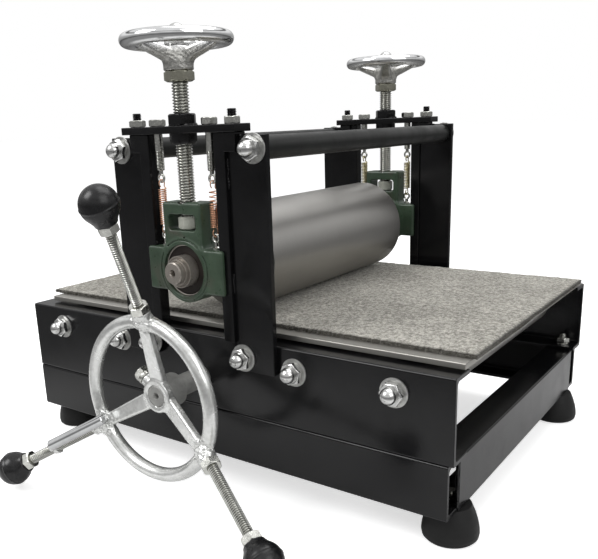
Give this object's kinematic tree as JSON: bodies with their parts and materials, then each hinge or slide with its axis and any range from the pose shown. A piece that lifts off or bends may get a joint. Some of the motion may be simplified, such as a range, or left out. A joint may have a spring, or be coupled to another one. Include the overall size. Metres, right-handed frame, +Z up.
{
  "type": "printmaking press",
  "caption": "Bench etching press: a hand wheel with arms drives a felt-covered bed between two rollers, with screws, sprung bearings and a channel frame.",
  "frame": {"origin": "on the bench under the frame's middle, midway between the four feet", "axes": "+X along the bed's travel, +Y along the rollers away from the drive wheel, +Z up"},
  "size_m": [0.523, 0.5499, 0.4225],
  "materials": {
    "black_paint": "gloss",
    "tie_paint": "satin",
    "rubber": "matte",
    "zinc": "satin",
    "stainless": "polished",
    "copper_wire": "satin",
    "brassy_wire": "satin",
    "green_casting": "hammered gloss",
    "bearing_steel": "satin",
    "roller_steel": "satin",
    "shaft_steel": "satin",
    "wheel_casting": "bright galvanised",
    "chrome": "polished",
    "knob_rubber": "satin",
    "bed_steel": "satin",
    "felt": "matte"
  },
  "bodies": {
    "frame": {"rubber_feet": "rubber", "foot_bolts": "zinc", "base_rail_near": "black_paint", "base_rail_far": "black_paint", "base_crossmembers": "black_paint", "rail_bolts": "zinc", "side_rail_near": "black_paint", "side_rail_far": "black_paint", "support_axles": "zinc", "lower_bearing_cups": "black_paint", "lower_bearings": "bearing_steel", "upright_near_left": "black_paint", "upright_near_right": "black_paint", "upright_far_left": "black_paint", "upright_far_right": "black_paint", "upright_bolts": "zinc", "tie_tubes": "tie_paint", "tie_rods": "zinc", "washers": "stainless", "cap_nuts": "stainless", "crossbar_near": "black_paint", "crossbar_far": "black_paint", "crossbar_stud_nuts": "zinc", "crossbar_screw_nuts": "black_paint", "spring_hangers": "zinc", "spring_near_left": "copper_wire", "spring_near_right": "copper_wire", "spring_far_left": "brassy_wire", "spring_far_right": "brassy_wire"},
    "bed": {"bed_plate": "bed_steel", "felt_blanket": "felt"},
    "lower_roller_group": {"lower_roller": "roller_steel", "drive_shaft": "shaft_steel", "lower_inner_rings": "bearing_steel", "shaft_collar": "shaft_steel", "drive_wheel": "wheel_casting", "wheel_set_bolt": "zinc", "arm_rods": "zinc", "arm_nuts": "zinc", "arm_knobs": "knob_rubber", "side_pin": "stainless", "side_pin_lugs": "zinc"},
    "bearing_carriage": {"bearing_housing_near": "green_casting", "bearing_housing_far": "green_casting", "upper_bearings": "bearing_steel", "spring_eyes": "zinc"},
    "upper_roller_group": {"upper_roller": "roller_steel", "upper_shaft": "shaft_steel", "upper_inner_rings": "bearing_steel"},
    "screw_near": {"pressure_screw_near": "zinc", "screw_nuts_near": "zinc", "handwheel_near": "chrome"},
    "screw_far": {"pressure_screw_far": "zinc", "screw_nuts_far": "zinc", "handwheel_far": "chrome"},
    "roller_1": {"support_roller_1": "roller_steel"},
    "roller_2": {"support_roller_2": "roller_steel"},
    "roller_3": {"support_roller_3": "roller_steel"},
    "roller_4": {"support_roller_4": "roller_steel"}
  },
  "joints": [
    {"name": "bed_slide", "type": "slide", "parent": "frame", "child": "bed", "axis": [1, 0, 0], "range_m": [-0.23, 0.23]},
    {"name": "lower_roller_spin", "type": "hinge", "parent": "frame", "child": "lower_roller_group", "pos_m": [0, 0, 0.10875], "axis": [0, 1, 0], "range_deg": [-300, 300]},
    {"name": "carriage_lift", "type": "slide", "parent": "frame", "child": "bearing_carriage", "axis": [0, 0, 1], "range_m": [0, 0.012], "deforming": ["spring_near_left", "spring_near_right", "spring_far_left", "spring_far_right"]},
    {"name": "upper_roller_spin", "type": "hinge", "parent": "bearing_carriage", "child": "upper_roller_group", "pos_m": [0, 0, 0.2136], "axis": [0, 1, 0], "range_deg": [-262, 262]},
    {"name": "screw_near_turn", "type": "hinge", "parent": "bearing_carriage", "child": "screw_near", "pos_m": [0, -0.187, 0.3345], "axis": [0, 0, 1], "range_deg": [0, 1730]},
    {"name": "screw_far_turn", "type": "hinge", "parent": "bearing_carriage", "child": "screw_far", "pos_m": [0, 0.187, 0.3345], "axis": [0, 0, 1], "range_deg": [0, 1730]},
    {"name": "support_roller_1_spin", "type": "hinge", "parent": "frame", "child": "roller_1", "pos_m": [-0.202, 0, 0.1312], "axis": [0, 1, 0], "range_deg": [-600, 600]},
    {"name": "support_roller_2_spin", "type": "hinge", "parent": "frame", "child": "roller_2", "pos_m": [-0.107, 0, 0.1312], "axis": [0, 1, 0], "range_deg": [-600, 600]},
    {"name": "support_roller_3_spin", "type": "hinge", "parent": "frame", "child": "roller_3", "pos_m": [0.107, 0, 0.1312], "axis": [0, 1, 0], "range_deg": [-600, 600]},
    {"name": "support_roller_4_spin", "type": "hinge", "parent": "frame", "child": "roller_4", "pos_m": [0.202, 0, 0.1312], "axis": [0, 1, 0], "range_deg": [-600, 600]}
  ],
  "couplings": [
    {"joint": "lower_roller_spin", "follows": "bed_slide", "rad_per_m": 22.497},
    {"joint": "upper_roller_spin", "follows": "bed_slide", "rad_per_m": -19.685},
    {"joint": "screw_near_turn", "follows": "carriage_lift", "rad_per_m": 2513.3},
    {"joint": "screw_far_turn", "follows": "carriage_lift", "rad_per_m": 2513.3},
    {"joint": "support_roller_1_spin", "follows": "bed_slide", "rad_per_m": 45.455},
    {"joint": "support_roller_2_spin", "follows": "bed_slide", "rad_per_m": 45.455},
    {"joint": "support_roller_3_spin", "follows": "bed_slide", "rad_per_m": 45.455},
    {"joint": "support_roller_4_spin", "follows": "bed_slide", "rad_per_m": 45.455}
  ]
}
